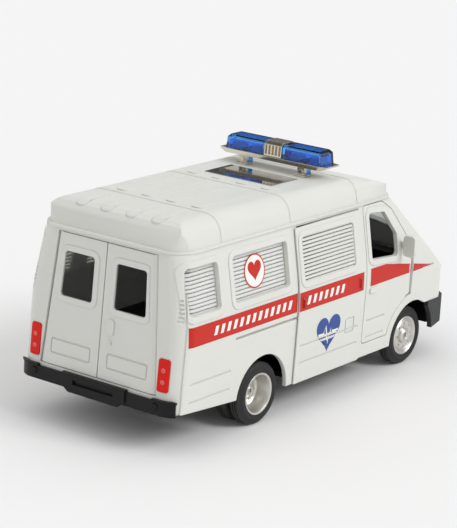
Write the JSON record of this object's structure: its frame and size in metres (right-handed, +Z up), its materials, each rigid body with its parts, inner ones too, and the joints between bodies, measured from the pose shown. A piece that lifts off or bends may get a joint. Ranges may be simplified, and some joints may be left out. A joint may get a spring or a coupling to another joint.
{
  "type": "toy ambulance",
  "caption": "High-roof toy ambulance with hinged front and rear doors, a sliding side door, a roof light bar and friction-driven twin rear wheels.",
  "frame": {"origin": "on the ground under the middle of the van's box", "axes": "+X towards the nose, +Y to the van's left, +Z up"},
  "size_m": [0.178, 0.0826, 0.0884],
  "materials": {
    "white_plastic": "moulded, satin",
    "dark_plastic": "moulded, matt",
    "black_plastic": "moulded, matt",
    "gear_plastic": "moulded, matt",
    "chrome_plastic": "metal-coated plastic",
    "silver_plastic": "silver-painted plastic",
    "steel": "drawn wire",
    "tyre": "moulded, matt",
    "red_plastic": "moulded, glossy",
    "blue_clear": "tinted clear, glossy",
    "clear_plastic": "clear, glossy"
  },
  "bodies": {
    "van": {"body_shell": "white_plastic", "roof_cap": "white_plastic", "chassis": "black_plastic", "interior_tub": "dark_plastic", "cab_seats": "dark_plastic", "dashboard": "black_plastic", "steering_wheel": "black_plastic", "windscreen": "clear_plastic", "front_bumper": "dark_plastic", "rear_bumper": "black_plastic", "bumper_bolts": "chrome_plastic", "grille": "black_plastic", "headlamp_left": "clear_plastic", "headlamp_right": "clear_plastic", "tail_lamp_left": "red_plastic", "tail_lamp_right": "red_plastic", "roof_plate": "chrome_plastic", "louvre_left": "white_plastic", "louvre_right": "white_plastic", "bar_tray": "chrome_plastic", "bar_siren": "chrome_plastic", "bar_reflectors": "silver_plastic", "bar_lens_left": "blue_clear", "bar_lens_right": "blue_clear", "motor_case": "dark_plastic", "motor_lid": "dark_plastic", "chassis_screws": "steel"},
    "front_wheels": {"front_axle": "steel", "rim_front_left": "silver_plastic", "rim_front_right": "silver_plastic", "tyre_front_left": "tyre", "tyre_front_right": "tyre"},
    "rear_wheels": {"rear_axle": "steel", "axle_gear": "gear_plastic", "rim_rear_left": "silver_plastic", "rim_rear_right": "silver_plastic", "tyre_rear_left_outer": "tyre", "tyre_rear_left_inner": "tyre", "tyre_rear_right_outer": "tyre", "tyre_rear_right_inner": "tyre"},
    "idler": {"idler_gear": "gear_plastic"},
    "fly": {"flywheel": "steel"},
    "cab_door_left": {"front_door_left": "white_plastic", "mirror_left": "white_plastic"},
    "cab_door_right": {"front_door_right": "white_plastic", "mirror_right": "white_plastic"},
    "tail_door_left": {"rear_door_left": "white_plastic"},
    "tail_door_right": {"rear_door_right": "white_plastic"},
    "load_door": {"side_door": "white_plastic"}
  },
  "joints": [
    {"name": "front_wheels_roll", "type": "hinge", "parent": "van", "child": "front_wheels", "pos_m": [0.0568, 0, 0.0112], "axis": [0, 1, 0], "continuous": true},
    {"name": "rear_wheels_roll", "type": "hinge", "parent": "van", "child": "rear_wheels", "pos_m": [-0.039, 0, 0.0112], "axis": [0, 1, 0], "continuous": true},
    {"name": "idler_spin", "type": "hinge", "parent": "van", "child": "idler", "pos_m": [-0.0325, 0, 0.01495], "axis": [0, 1, 0], "continuous": true},
    {"name": "fly_spin", "type": "hinge", "parent": "van", "child": "fly", "pos_m": [-0.02478, 0, 0.01702], "axis": [0, 1, 0], "continuous": true},
    {"name": "cab_door_left_swing", "type": "hinge", "parent": "van", "child": "cab_door_left", "pos_m": [0.05265, 0.0336, 0.038], "axis": [0, 0, -1], "range_deg": [0, 65]},
    {"name": "cab_door_right_swing", "type": "hinge", "parent": "van", "child": "cab_door_right", "pos_m": [0.05265, -0.0336, 0.038], "axis": [0, 0, 1], "range_deg": [0, 65]},
    {"name": "tail_door_left_swing", "type": "hinge", "parent": "van", "child": "tail_door_left", "pos_m": [-0.08554, 0.02424, 0.0204], "axis": [-0.0747, 0.0853, -0.9936], "range_deg": [0, 90]},
    {"name": "tail_door_right_swing", "type": "hinge", "parent": "van", "child": "tail_door_right", "pos_m": [-0.08554, -0.02424, 0.0204], "axis": [0.0747, 0.0853, 0.9936], "range_deg": [0, 90]},
    {"name": "load_door_slide", "type": "slide", "parent": "van", "child": "load_door", "axis": [-0.9994, -0.0349, 0], "range_m": [0, 0.034]}
  ],
  "couplings": [
    {"joint": "idler_spin", "follows": "rear_wheels_roll", "ratio": -2},
    {"joint": "fly_spin", "follows": "rear_wheels_roll", "ratio": 4.4}
  ]
}
